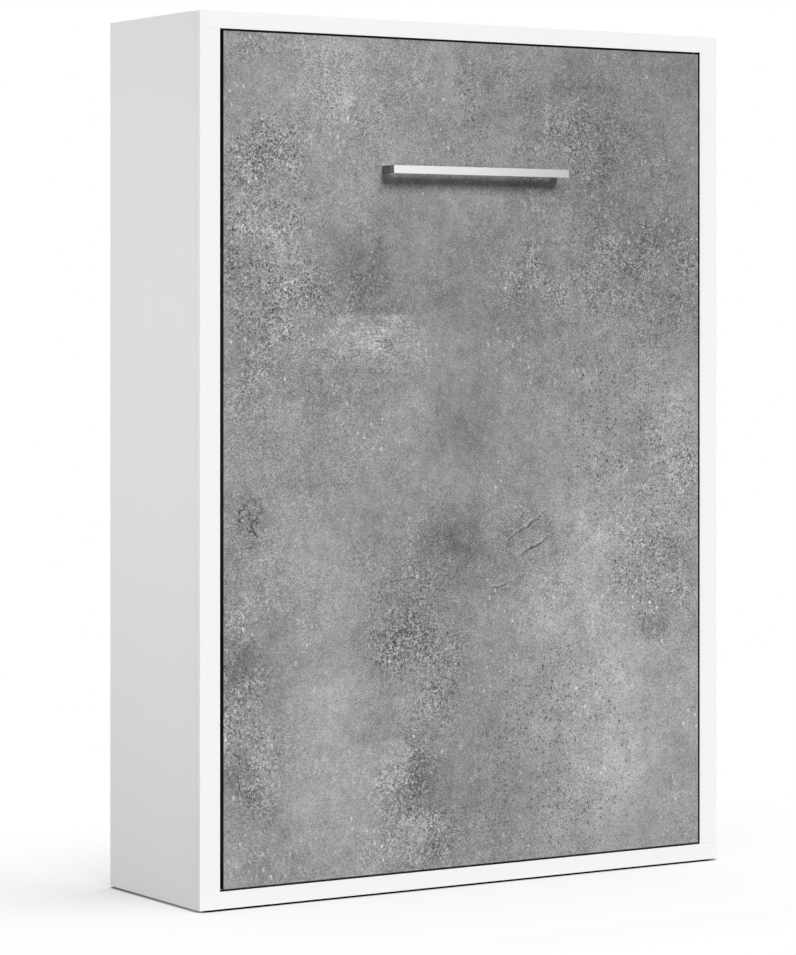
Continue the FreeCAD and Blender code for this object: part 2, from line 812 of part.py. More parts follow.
# Sprung slats: one bowed slat per place, repeated along the bed
def slat_row(label):
    body = add("PartDesign::Body", label)
    body.AllowCompound = True
    sketch = sketch_on(body, label + "_section", "XY_Plane")
    half = value("slat_length / 2")
    radius = value("slat_curve")
    centre = FreeCAD.Vector(0, value("slat_bow - slat_curve"), 0)
    up = FreeCAD.Vector(0, 0, 1)
    ends = []
    for size in (radius, radius + value("slat_thickness")):
        angle = math.acos(half / size)
        arc = Part.ArcOfCircle(Part.Circle(centre, up, size), angle, math.pi - angle)
        sketch.addGeometry(arc, False)
        ends.append((arc.StartPoint, arc.EndPoint))
    for inner, outer in zip(*ends):
        sketch.addGeometry(Part.LineSegment(inner, outer), False)
    sketch.addConstraint(Sketcher.Constraint("PointOnObject", 0, 3, -2))
    sketch.addConstraint(Sketcher.Constraint("Coincident", 1, 3, 0, 3))
    sketch.addConstraint(Sketcher.Constraint("PointOnObject", 0, 1, -1))
    sketch.addConstraint(Sketcher.Constraint("PointOnObject", 0, 2, -1))
    for line, end in ((2, 1), (3, 2)):
        sketch.addConstraint(Sketcher.Constraint("Coincident", line, 1, 0, end))
        sketch.addConstraint(Sketcher.Constraint("Coincident", line, 2, 1, end))
        sketch.addConstraint(Sketcher.Constraint("Vertical", line))
    for rule, text in (
        (("DistanceX", 0, 2, 0, 1), "slat_length"),
        (("Radius", 0), "slat_curve"),
        (("Radius", 1), "slat_curve + slat_thickness"),
    ):
        index = sketch.addConstraint(Sketcher.Constraint(*rule, value(text)))
        bind(sketch, f"Constraints[{index}]", text)
    pad = body.newObject("PartDesign::Pad", label + "_slat")
    pad.Profile = sketch
    bind(pad, "Length", "slat_width")
    doc.recompute()
    rows = body.newObject("PartDesign::LinearPattern", label + "_rows")
    rows.Originals = [pad]
    rows.Direction = (origin(body, "Z_Axis"), [""])
    bind(rows, "Length", "slat_run")
    bind(rows, "Occurrences", "slat_count")
    body.Tip = rows
    return place(body, "(slat_inner + slat_outer) / 2", "slat_front", "slat_low")


slats = keep(slat_row("slats_right"))
keep(mirror("slats_left", slats))

# Slat caps on the side rails and double caps on the centre beam
side_caps = []
centre_caps = []
pocket_y = ("slat_front - slide_fit", "slat_front + slat_thickness + slope_play")
for index in range(SIZES["slat_count"]):
    low = f"slat_low + {index} * slat_pitch"
    cap_z = (f"{low} - cap_wall", f"{low} + slat_width + cap_wall")
    pocket_z = (f"{low} - seat_play", f"{low} + slat_width + seat_play")
    cap = block(
        f"side_cap_blank_{index}",
        ("rail_inner - cap_grip", "rail_inner"),
        ("slat_front - cap_wall", "cap_back"),
        cap_z,
    )
    pocket = block(
        f"side_cap_pocket_{index}",
        ("rail_inner - cap_grip - overrun", "rail_inner - cap_wall"),
        pocket_y,
        pocket_z,
    )
    side_caps.append(cut(f"side_cap_{index}", cap, [pocket]))
    double = block(f"centre_cap_blank_{index}", ("-cap_half", "cap_half"), ("beam_back", "cap_back"), cap_z)
    pocket = block(
        f"centre_cap_pocket_{index}", ("cap_web / 2", "cap_half + overrun"), pocket_y, pocket_z
    )
    pockets = [pocket, mirror(f"centre_cap_pocket_mirrored_{index}", pocket)]
    centre_caps.append(cut(f"centre_cap_{index}", double, pockets))
cap_row = keep(group("slat_caps_right", side_caps))
keep(mirror("slat_caps_left", cap_row))
keep(group("slat_centre_caps", centre_caps))

# Pivot plates on the side rails with bolts, bushes and strut studs
bed_holes = [(y, z, "bolt_radius + slide_fit") for y, z in bed_bolt_spots]
bed_holes.append(("pivot_y", "pivot_height", "bush_radius + slide_fit"))
bed_holes.append(("stud_y", "stud_z", "stud_radius + slide_fit"))
bed_plate = plate(
    "bed_pivot_plate_right",
    "bed_plate_thickness",
    ("bed_plate_front", "bed_plate_back"),
    ("bed_plate_foot", "bed_plate_top"),
    bed_holes,
)
keep(place(bed_plate, "panel_half", "0", "0"))
keep(mirror("bed_pivot_plate_left", bed_plate))
bed_bolts = []
for index, spot in enumerate(bed_bolt_spots):
    shank = bar(
        f"bed_bolt_shank_{index}", "x", ("panel_half - leg_bolt_hold", "bed_plate_outer"), spot, "bolt_radius"
    )
    head = bar(
        f"bed_bolt_head_{index}",
        "x",
        ("bed_plate_outer", "bed_plate_outer + bolt_head_height"),
        spot,
        "bolt_head_radius",
    )
    bed_bolts.append(fuse(f"bed_bolt_{index}", [shank, head]))
both("bed_plate_bolts", group("bed_plate_bolts_right", bed_bolts))
bush = turned(
    "pivot_bush_right",
    [
        ("pin_radius + slide_fit", "0"),
        ("bush_radius", "0"),
        ("bush_radius", "bed_plate_outer - rail_inner"),
        ("bush_flange_radius", "bed_plate_outer - rail_inner"),
        ("bush_flange_radius", "bed_plate_outer - rail_inner + bush_flange"),
        ("pin_radius + slide_fit", "bed_plate_outer - rail_inner + bush_flange"),
    ],
)
both("pivot_bushes", place(bush, "rail_inner", "pivot_y", "pivot_height", "x"))
rod_stud = stud("strut_rod_stud_right", "bed_plate_thickness")
both("strut_rod_studs", place(rod_stud, "panel_half", "stud_y", "stud_z", "x"))


# Mattress bows of bent round tube on the end rails
def mattress_bow(label, z):
    straight = "bow_half - bow_bend"
    leg = bar(f"{label}_leg", "y", ("rail_back", "bow_top - bow_bend"), ("bow_half", z), "bow_radius")
    top = bar(f"{label}_top", "x", (f"-({straight})", straight), ("bow_top", z), "bow_radius")
    bend = add("Part::Torus", f"{label}_bend")
    bind(bend, "Radius1", "bow_bend")
    bind(bend, "Radius2", "bow_radius")
    bend.Angle3 = 90
    place(bend, straight, "bow_top - bow_bend", z)
    pieces = [leg, bend, top, mirror(f"{label}_bend_mirrored", bend), mirror(f"{label}_leg_mirrored", leg)]
    return keep(fuse(label, pieces))


mattress_bow("mattress_bow_head", "bow_low_z")
mattress_bow("mattress_bow_foot", "bow_high_z")

# Legs of flat bar with foot pads, hung on shouldered bolts
leg_edges = ("leg_y - leg_width / 2", "leg_y + leg_width / 2")
leg_x = ("leg_low_x", "leg_high_x")
leg_spot = ("leg_y", "leg_pivot_height")
shin = block("leg_shin", leg_x, leg_edges, ("leg_tip_z", "leg_pivot_height"))
knee = bar("leg_knee", "x", leg_x, leg_spot, "leg_width / 2")
leg_drills = fuse(
    "leg_drills",
    [
        bar(
            "leg_bore",
            "x",
            ("leg_low_x - overrun", "leg_high_x + overrun"),
            leg_spot,
            "leg_bolt_radius + slide_fit",
        ),
        bar(
            "leg_counterbore",
            "x",
            ("leg_high_x - leg_bolt_head - seat_play", "leg_high_x + overrun"),
            leg_spot,
            "leg_bolt_head_radius + seat_play",
        ),
    ],
)
leg = keep(cut("leg_right", fuse("leg_blank", [shin, knee]), [leg_drills]))
keep(mirror("leg_left", leg))
foot = block(
    "leg_foot_blank",
    ("leg_low_x - foot_skin", "leg_high_x + foot_skin"),
    ("leg_y - leg_width / 2 - foot_side", "leg_y + leg_width / 2 + foot_side"),
    ("leg_foot_z", "leg_foot_z + foot_height"),
)
foot_pocket = block("leg_foot_pocket", leg_x, leg_edges, ("leg_tip_z", "leg_foot_z + foot_height + overrun"))
foot = keep(cut("leg_foot_right", foot, [foot_pocket]))
keep(mirror("leg_foot_left", foot))
leg_bolt = fuse(
    "leg_pivot_bolt_right",
    [
        bar("leg_bolt_shank", "x", ("panel_half - leg_bolt_hold", "leg_high_x"), leg_spot, "leg_bolt_radius"),
        bar(
            "leg_bolt_collar",
            "x",
            ("panel_half", "leg_low_x - seat_play"),
            leg_spot,
            "leg_bolt_head_radius",
        ),
        bar(
            "leg_bolt_top",
            "x",
            ("leg_high_x - leg_bolt_head", "leg_high_x"),
            leg_spot,
            "leg_bolt_head_radius",
        ),
    ],
)
both("leg_pivot_bolts", leg_bolt)


# Gas springs: a cylinder hung from the cabinet and a rod hung from the bed
def strut_eye(label):
    ring = bar(f"{label}_ring", "x", ("-eye_width / 2", "eye_width / 2"), ("0", "0"), "eye_radius")
    neck = bar(f"{label}_neck", "z", ("0", "eye_reach"), ("0", "0"), "eye_neck_radius")
    hole = bar(
        f"{label}_hole",
        "x",
        ("-eye_width / 2 - overrun", "eye_width / 2 + overrun"),
        ("0", "0"),
        "stud_radius + slide_fit",
    )
    return cut(label, fuse(f"{label}_blank", [ring, neck]), [hole])


def hang(item, y, z, angle):
    """Puts a strut piece on its stud, along the line between the two studs."""
    keep(place(tilt(item, angle), "strut_plane", y, z))
    keep(mirror(item.Label.replace("right", "left"), item))


to_bed = "strut_tilt - 180 deg"
hang(strut_eye("strut_upper_eye_right"), "anchor_y", "anchor_z", to_bed)
hang(strut_eye("strut_lower_eye_right"), "stud_y", "stud_z", "strut_tilt")
cylinder = turned(
    "strut_cylinder_right",
    [
        ("0", "eye_reach"),
        ("strut_radius", "eye_reach"),
        ("strut_radius", "tube_end"),
        ("rod_radius + rod_fit", "tube_end"),
        ("rod_radius + rod_fit", "tube_end - strut_gland"),
        ("strut_bore", "tube_end - strut_gland"),
        ("strut_bore", "eye_reach + strut_end_wall"),
        ("0", "eye_reach + strut_end_wall"),
    ],
)
hang(cylinder, "anchor_y", "anchor_z", to_bed)
rod = turned(
    "strut_rod_right",
    [
        ("0", "eye_reach"),
        ("rod_radius", "eye_reach"),
        ("rod_radius", "rod_end - piston_length"),
        ("piston_radius", "rod_end - piston_length"),
        ("piston_radius", "rod_end"),
        ("0", "rod_end"),
    ],
)
hang(rod, "stud_y", "stud_z", "strut_tilt")

# Every piece is computed, looked at for faults and written
doc.recompute()
faults = [item.Label for item in doc.Objects if "Invalid" in item.State or "Error" in item.State]
faults += [label for label, item in parts.items() if item.Shape.isNull() or not item.Shape.isValid()]
if faults:
    raise RuntimeError("pieces with faults: " + ", ".join(faults))
os.makedirs("parts", exist_ok=True)
for label, item in parts.items():
    item.Shape.exportStep(f"parts/{label}.step")
print(len(parts), "pieces written")
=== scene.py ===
import math

import bpy
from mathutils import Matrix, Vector


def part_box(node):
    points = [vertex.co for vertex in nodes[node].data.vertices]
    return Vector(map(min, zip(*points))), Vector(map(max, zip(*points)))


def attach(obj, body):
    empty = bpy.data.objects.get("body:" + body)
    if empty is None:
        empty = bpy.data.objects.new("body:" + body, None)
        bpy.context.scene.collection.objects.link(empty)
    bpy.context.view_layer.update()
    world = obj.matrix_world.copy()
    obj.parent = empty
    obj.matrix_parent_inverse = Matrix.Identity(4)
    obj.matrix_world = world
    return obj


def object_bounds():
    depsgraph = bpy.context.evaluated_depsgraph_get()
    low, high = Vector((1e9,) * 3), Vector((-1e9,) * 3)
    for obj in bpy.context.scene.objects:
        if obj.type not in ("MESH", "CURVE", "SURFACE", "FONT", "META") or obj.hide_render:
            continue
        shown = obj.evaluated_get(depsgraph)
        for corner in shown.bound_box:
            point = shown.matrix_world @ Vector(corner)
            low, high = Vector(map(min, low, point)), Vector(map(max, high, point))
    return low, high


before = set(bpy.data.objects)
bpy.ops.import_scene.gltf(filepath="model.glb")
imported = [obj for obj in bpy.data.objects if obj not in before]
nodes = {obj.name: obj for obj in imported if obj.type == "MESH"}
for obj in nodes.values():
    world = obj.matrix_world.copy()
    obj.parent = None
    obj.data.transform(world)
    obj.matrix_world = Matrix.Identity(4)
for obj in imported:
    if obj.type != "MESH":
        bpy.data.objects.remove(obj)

cad_low, cad_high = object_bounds()
scene = bpy.context.scene

# Places that the materials and the trim follow, in metres, read from the frame
rail_low, rail_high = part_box("frame_top_rail")
edging_low, edging_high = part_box("panel_edging")
bar_low, bar_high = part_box("handle_bar")
slats_low, slats_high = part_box("slats_right")
OPENING_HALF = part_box("frame_upright_right")[0].x
OPENING_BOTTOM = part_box("frame_bottom_rail")[1].z
OPENING_TOP = rail_low.z

# Helpers for colours and nodes


def linear(level):
    """A screen level from 0 to 255 as the linear value that renders to it."""
    v = level / 255.0
    return v / 12.92 if v <= 0.04045 else ((v + 0.055) / 1.055) ** 2.4


def grey(level, red=0.0, blue=0.0):
    """A grey of that screen level, with a shift of its red and blue in levels."""
    return (linear(level + red), linear(level), linear(level + blue), 1.0)


class Knots:
    """A node tree under construction; its calls add nodes and return their outputs."""

    def __init__(self, tree, coordinates="Object"):
        self.tree = tree
        self.place = self.add("ShaderNodeTexCoord").outputs[coordinates]

    def add(self, kind, **settings):
        """A new node with its settings."""
        node = self.tree.nodes.new(kind)
        for key, value in settings.items():
            setattr(node, key, value)
        return node

    def feed(self, socket, value):
        """Links an output to a socket, or sets the socket to a plain value."""
        if isinstance(value, bpy.types.NodeSocket):
            self.tree.links.new(value, socket)
        else:
            socket.default_value = value

    def math(self, operation, a, b=0.0, c=0.0, clamp=False):
        node = self.add("ShaderNodeMath", operation=operation, use_clamp=clamp)
        for socket, value in zip(node.inputs, (a, b, c)):
            self.feed(socket, value)
        return node.outputs[0]

    def both(self, *values):
        """The product of several masks."""
        made = values[0]
        for value in values[1:]:
            made = self.math("MULTIPLY", made, value)
        return made

    def step(self, value, low, high, to_low=0.0, to_high=1.0):
        """value brought from one range to another, smoothly and within its ends."""
        node = self.add("ShaderNodeMapRange", interpolation_type="SMOOTHSTEP")
        for key, given in (("Value", value), ("From Min", low), ("From Max", high),
                           ("To Min", to_low), ("To Max", to_high)):
            self.feed(node.inputs[key], given)
        return node.outputs["Result"]

    def axes(self, vector=None):
        """The three parts of the place, or of a vector given."""
        node = self.add("ShaderNodeSeparateXYZ")
        self.feed(node.inputs[0], vector or self.place)
        return node.outputs

    def seen(self):
        """1 for rays from the camera and from gloss and glass, which see the white background."""
        path = self.add("ShaderNodeLightPath").outputs
        made = path["Is Camera Ray"]
        for key in ("Is Glossy Ray", "Is Transmission Ray"):
            made = self.math("MAXIMUM", made, path[key])
        return made


class Paint(Knots):
    """A material under construction."""

    def __init__(self, name):
        self.material = bpy.data.materials.new(name)
        self.material.use_nodes = True
        super().__init__(self.material.node_tree)
        self.shader = self.tree.nodes["Principled BSDF"]

    def set(self, **values):
        """Sets or links the shader's own sockets, named with _ for a space."""
        for key, value in values.items():
            self.feed(self.shader.inputs[key.replace("_", " ")], value)
        return self

    def total(self, start, *terms):
        """start plus the sum of value times weight."""
        for value, weight in terms:
            start = self.math("MULTIPLY_ADD", value, weight, start)
        return start

    def stretch(self, scale, vector=None, turn=(0.0, 0.0, 0.0)):
        """The place, or a vector given, turned and scaled."""
        node = self.add("ShaderNodeMapping")
        self.feed(node.inputs["Vector"], vector or self.place)
        node.inputs["Rotation"].default_value = turn
        node.inputs["Scale"].default_value = scale
        return node.outputs[0]

    def noise(self, scale, detail=2.0, roughness=0.5, vector=None, offset=0.0):
        """Noise with a mean of about a half; offset moves it to another place."""
        node = self.add("ShaderNodeTexNoise", noise_dimensions="4D")
        self.feed(node.inputs["Vector"], vector or self.place)
        for key, value in (("W", offset), ("Scale", scale), ("Detail", detail), ("Roughness", roughness)):
            node.inputs[key].default_value = value
        return node.outputs["Fac"]

    def swing(self, *args, **keys):
        """Noise from about -1 to 1."""
        return self.math("MULTIPLY_ADD", self.noise(*args, **keys), 2.0, -1.0)

    def spot(self, x, z, half_x, half_z, tilt=0.0, vector=None):
        """A soft round spot on the plane of x and z, 1 in its middle and 0 at its rim."""
        node = self.add("ShaderNodeMapping", vector_type="TEXTURE")
        self.feed(node.inputs["Vector"], vector or self.place)
        node.inputs["Location"].default_value = (x, 0.0, z)
        node.inputs["Rotation"].default_value = (0.0, math.radians(-tilt), 0.0)
        node.inputs["Scale"].default_value = (half_x, 1000.0, half_z)
        ball = self.add("ShaderNodeTexGradient", gradient_type="QUADRATIC_SPHERE")
        self.feed(ball.inputs[0], node.outputs[0])
        return ball.outputs["Fac"]

    def spots(self, start, rows, vector=None):
        """start plus soft spots, each (x, z, half_x, half_z, tilt, amount)."""
        return self.total(start, *((self.spot(*row[:5], vector=vector), row[5]) for row in rows))

    def warp(self, scale, amount, detail=2.0, vector=None):
        """The place, or a vector given, pushed about by noise."""
        node = self.add("ShaderNodeTexNoise")
        self.feed(node.inputs["Vector"], vector or self.place)
        node.inputs["Scale"].default_value = scale
        node.inputs["Detail"].default_value = detail
        centre = self.add("ShaderNodeVectorMath", operation="SUBTRACT")
        self.feed(centre.inputs[0], node.outputs["Color"])
        centre.inputs[1].default_value = (0.5, 0.5, 0.5)
        push = self.add("ShaderNodeVectorMath", operation="MULTIPLY_ADD")
        self.feed(push.inputs[0], centre.outputs[0])
        push.inputs[1].default_value = (amount, amount, amount)
        self.feed(push.inputs[2], vector or self.place)
        return push.outputs[0]

    def cells(self, scale, vector=None):
        """Cells on the plane of x and z: the distance to their middles, and three draws for each."""
        node = self.add("ShaderNodeTexVoronoi", voronoi_dimensions="2D")
        self.feed(node.inputs["Vector"], self.stretch((1.0, 1.0, 1.0), vector, (math.pi / 2, 0.0, 0.0)))
        node.inputs["Scale"].default_value = scale
        return node.outputs["Distance"], self.axes(node.outputs["Color"])

    def dots(self, scale, size, share, vector=None):
        """Scattered round dots, 1 in their middle; share is the part of the cells that has one."""
        distance, draws = self.cells(scale, vector)
        radius = self.math("MULTIPLY_ADD", draws[1], 0.7 * size, 0.5 * size)
        dot = self.step(self.math("DIVIDE", distance, radius), 0.6, 1.2, 1.0, 0.0)
        return self.both(dot, self.math("LESS_THAN", draws[0], share))

    def grains(self, scale, vector=None):
        """A grey of its own for each grain, from -1 to 1."""
        return self.math("MULTIPLY_ADD", self.cells(scale, vector)[1][0], 2.0, -1.0)

    def ramp(self, value, stops):
        """A colour by value, from stops of (position, colour)."""
        node = self.add("ShaderNodeValToRGB")
        self.feed(node.inputs[0], value)
        points = node.color_ramp.elements
        while len(points) < len(stops):
            points.new(0.5)
        for point, (position, colour) in zip(points, stops):
            point.position = position
            point.color = colour
        return node.outputs["Color"]

    def mix(self, share, a, b, blend="MIX"):
        node = self.add("ShaderNodeMix", data_type="RGBA", blend_type=blend)
        self.feed(node.inputs["Factor"], share)
        self.feed(node.inputs["A"], a)
        self.feed(node.inputs["B"], b)
        return node.outputs["Result"]

    def bump(self, height, strength, distance):
        node = self.add("ShaderNodeBump")
        self.feed(node.inputs["Height"], height)
        node.inputs["Strength"].default_value = strength
        node.inputs["Distance"].default_value = distance
        self.feed(self.shader.inputs["Normal"], node.outputs[0])
        return self


# White board

# How far the black painted on the opening's edges, painted shade for the gap round the panel, runs onto the
# faces of the front frame
GAP_SHADE_SKIN = 0.0002
# The white's range, and the black painted on the opening's edges as painted shade for the gap
WHITE_LOW, WHITE_HIGH, GAP_SHADE_BLACK = grey(236, -1, 2), grey(242, -1, 2), grey(9)


def white_board(name, opening=False):
    """White melamine with a fine pearl; a front frame's edges to the opening are painted black, as painted
    shade for the gap round the panel.
    """
    p = Paint(name)
    drift = p.swing(2.2, detail=3.0)
    pearl = p.noise(700.0, detail=1.0)
    tone = p.total(0.5, (drift, 0.30), (p.swing(90.0, detail=3.0), 0.14))
    colour = p.ramp(tone, [(0.0, WHITE_LOW), (1.0, WHITE_HIGH)])
    if opening:
        axes = p.axes()
        gap_shade_mask = p.both(
            p.math("LESS_THAN", p.math("ABSOLUTE", axes[0]), OPENING_HALF + GAP_SHADE_SKIN),
            p.math("GREATER_THAN", axes[2], OPENING_BOTTOM - GAP_SHADE_SKIN),
            p.math("LESS_THAN", axes[2], OPENING_TOP + GAP_SHADE_SKIN),
        )
        # The front frame's edges to the opening painted black: painted shade for the gap round the panel
        colour = p.mix(gap_shade_mask, colour, GAP_SHADE_BLACK)
    rough = p.total(0.40, (drift, 0.04), (pearl, 0.06))
    p.set(Base_Color=colour, Roughness=rough, Specular_IOR_Level=0.35)
    return p.bump(pearl, 0.05, 0.0003).material


# Concrete print

# Broad tones: x, z, half width, half height, tilt, amount
CLOUDS = [
    (-0.45, 1.98, 0.50, 0.40, 0, 0.08),
    (0.42, 1.80, 0.62, 0.66, 10, -0.14),
    (0.27, 2.03, 0.22, 0.14, 0, -0.09),
    (0.52, 1.60, 0.32, 0.17, 20, -0.13),
    (0.64, 1.44, 0.22, 0.24, 12, -0.13),
    (-0.36, 1.53, 0.22, 0.20, 0, -0.17),
    (0.15, 1.44, 0.18, 0.14, 0, -0.14),
    (-0.06, 1.46, 0.18, 0.14, 0, -0.07),
    (-0.03, 1.18, 0.22, 0.22, 0, -0.15),
    (0.13, 1.30, 0.30, 0.15, 0, -0.09),
    (-0.30, 1.27, 0.34, 0.17, 0, -0.07),
    (-0.55, 1.62, 0.20, 0.20, 0, 0.06),
    (0.46, 1.05, 0.22, 0.16, 0, -0.07),
    (-0.05, 1.84, 0.16, 0.24, 0, -0.06),
    (-0.05, 0.86, 0.21, 0.18, 15, -0.22),
    (0.19, 0.91, 0.16, 0.12, 20, -0.12),
    (0.05, 0.76, 0.18, 0.12, 0, -0.08),
    (-0.16, 0.66, 0.20, 0.30, 15, -0.09),
    (-0.17, 0.31, 0.15, 0.20, 0, -0.17),
    (-0.02, 0.26, 0.22, 0.40, 0, -0.07),
    (0.48, 0.50, 0.55, 0.95, -6, 0.15),
    (0.37, 0.92, 0.26, 0.24, 0, 0.12),
    (0.26, 0.64, 0.26, 0.26, 0, 0.13),
    (0.52, 0.27, 0.24, 0.28, 0, 0.09),
    (0.58, 1.20, 0.24, 0.30, 0, 0.07),
    (-0.44, 0.42, 0.26, 0.75, 4, 0.13),
    (-0.50, 0.60, 0.17, 0.20, 0, -0.08),
    (-0.66, 0.60, 0.13, 0.18, 0, -0.14),
    (-0.67, 0.33, 0.13, 0.16, 0, -0.14),
    (0.58, 0.66, 0.10, 0.14, 10, -0.20),
    (0.64, 0.80, 0.10, 0.10, 0, -0.17),
    (-0.60, 1.45, 0.20, 0.50, 0, -0.05),
]
# Where the print is craggy, with a strong grain
CRAGS = [
    (-0.62, 1.50, 0.22, 0.60, 4, 1.1),
    (-0.55, 1.78, 0.20, 0.24, 0, 0.8),
    (0.33, 1.93, 0.32, 0.30, 0, 0.8),
    (0.55, 1.52, 0.38, 0.36, 10, 0.9),
    (0.18, 1.56, 0.30, 0.22, 0, 0.7),
    (-0.26, 1.36, 0.20, 0.13, 0, 0.8),
    (0.60, 1.02, 0.28, 0.38, 0, 1.0),
    (-0.20, 0.66, 0.22, 0.30, 15, 1.3),
    (-0.66, 0.48, 0.15, 0.50, 0, 0.9),
    (-0.20, 0.24, 0.15, 0.26, -8, 1.2),
    (-0.14, 0.12, 0.14, 0.13, 10, 1.0),
    (0.60, 0.70, 0.15, 0.22, 0, 0.9),
]
# Where dark pits lie in it
PITTED = [
    (0.30, 0.32, 0.46, 0.50, 0, 0.9),
    (0.56, 1.00, 0.34, 0.42, 0, 1.2),
    (0.42, 1.22, 0.32, 0.32, 0, 0.7),
    (-0.58, 1.62, 0.24, 0.55, 0, 0.9),
    (-0.18, 0.62, 0.24, 0.34, 15, 0.6),
    (0.02, 1.94, 0.12, 0.26, 0, 0.5),
]
# Pale crusts with a ragged rim
CRUSTS = [
    (-0.31, 1.37, 0.23, 0.12, -3, 0.6),
    (-0.24, 0.31, 0.08, 0.19, -8, 1.0),
    (-0.15, 0.15, 0.12, 0.13, 10, 1.0),
    (0.62, 1.18, 0.18, 0.26, 0, 0.35),
    (-0.35, 1.96, 0.07, 0.15, 0, 0.7),
]
# Where the grey turns to a warm olive
STAINS = [
    (0.27, 2.03, 0.22, 0.14, 0, 0.9),
    (-0.28, 1.58, 0.24, 0.26, 0, 1.1),
    (0.15, 1.47, 0.12, 0.09, 0, 0.9),
    (-0.06, 0.91, 0.16, 0.16, 0, 1.0),
    (-0.66, 0.50, 0.14, 0.30, 0, 0.7),
]
OLIVE = (1.0, 0.99, 0.955, 1.0)
# Short strokes scored into the print: x, z, half length, half width, tilt
STROKES = [
    (0.169, 0.898, 0.105, 0.0042, 31.0),
    (0.196, 0.850, 0.096, 0.0050, 27.0),
    (0.090, 0.752, 0.050, 0.0030, 12.0),
]
# How far the light rim of a stroke lies from its dark groove
RIM_X, RIM_Z = -0.003, 0.006
# A scrawled mark near the left edge: x, z, half width, half height, tilt
MARK = (-0.642, 0.944, 0.056, 0.080, 14)
# A pale streaky patch: x, z, half width, half height; its crisp top edge lies between these two heights
PATCH = (-0.28, 1.390, 0.27, 0.22)
PATCH_OUTSIDE, PATCH_INSIDE = 1.445, 1.432
# The print's mean tone, and the greys that tones 0 and 1 stand for, with steps of even screen levels between
MEAN_TONE = 0.437
DARKEST, LIGHTEST, GREY_STEPS = 60, 240, 8
PRINT_GREYS = [
    (i / GREY_STEPS, grey(DARKEST + (LIGHTEST - DARKEST) * i / GREY_STEPS, 1.4, 0.6))
    for i in range(GREY_STEPS + 1)
]


